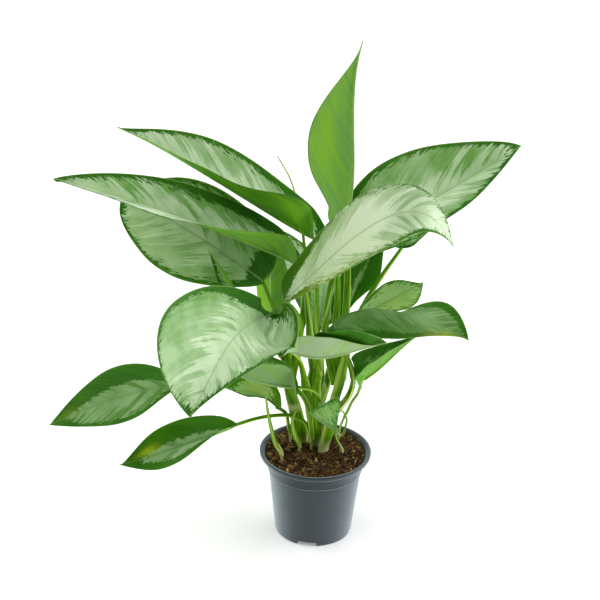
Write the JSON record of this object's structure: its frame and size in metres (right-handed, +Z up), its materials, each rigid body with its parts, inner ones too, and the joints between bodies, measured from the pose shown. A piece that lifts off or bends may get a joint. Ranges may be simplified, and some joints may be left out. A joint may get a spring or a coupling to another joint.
{
  "type": "potted chinese evergreen",
  "caption": "Potted chinese evergreen: broad silver-green leaves on arching stalks, growing from several shoots in a round plastic nursery pot filled with coir soil.",
  "frame": {"origin": "middle of the pot's underside, on the round pad that is level with the feet", "axes": "+Z up along the pot's axis, -Y towards the picture's viewer, +X to the viewer's right"},
  "size_m": [0.4709, 0.4038, 0.5442],
  "materials": {
    "pot": "satin",
    "soil": "matte",
    "stalk": "satin",
    "leaf_silver": "satin",
    "leaf_green": "satin",
    "leaf_dark": "satin"
  },
  "bodies": {
    "root": {"pot": "pot", "soil": "soil", "shoot_main": "stalk", "shoot_right": "stalk", "shoot_left": "stalk", "shoot_thin": "stalk", "shoot_low_left": "stalk", "shoot_small_front": "stalk", "shoot_small_right": "stalk", "sprout_left": "stalk", "sprout_front": "stalk", "stem_curled": "stalk", "leaf_right_upper": "leaf_silver", "leaf_front_arching": "leaf_silver", "leaf_left_upper": "leaf_silver", "leaf_left_middle": "leaf_silver", "leaf_left_broad": "leaf_silver", "leaf_front_left": "leaf_silver", "leaf_back_high": "leaf_silver", "leaf_back_right": "leaf_silver", "leaf_back_left": "leaf_silver", "leaf_top_upright": "leaf_green", "leaf_under_front": "leaf_green", "leaf_small_low_left": "leaf_green", "leaf_small_right": "leaf_green", "leaf_rolled_front": "leaf_green", "leaf_right_trough": "leaf_green", "leaf_small_front": "leaf_green", "leaf_left_upright": "leaf_green", "leaf_rolled_spear": "leaf_green", "leaf_low_left": "leaf_dark", "leaf_lowest_left": "leaf_dark", "leaf_right_drooping": "leaf_dark", "leaf_right_hidden": "leaf_dark", "leaf_back_low": "leaf_dark"}
  },
  "joints": []
}
